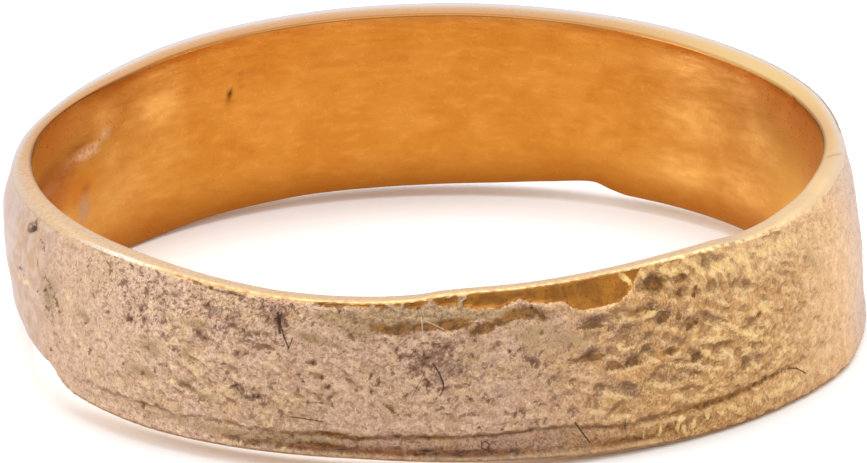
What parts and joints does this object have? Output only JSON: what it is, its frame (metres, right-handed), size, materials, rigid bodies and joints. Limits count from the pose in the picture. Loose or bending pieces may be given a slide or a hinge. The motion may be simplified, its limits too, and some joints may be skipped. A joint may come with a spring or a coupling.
{
  "type": "wedding ring",
  "caption": "Worn plain band ring with a domed, dented outer wall, a cut border line and a smooth round finger hole.",
  "frame": {"origin": "middle of the finger hole, on the surface that the ring lies on", "axes": "+Z along the finger hole, upwards; -Y is the front, towards the picture's camera; +X is the right"},
  "size_m": [0.0209, 0.021, 0.0047],
  "materials": {
    "gilt_metal": "worn gilding, smooth inside, grainy and stained outside"
  },
  "bodies": {
    "root": {"band": "gilt_metal"}
  },
  "joints": []
}
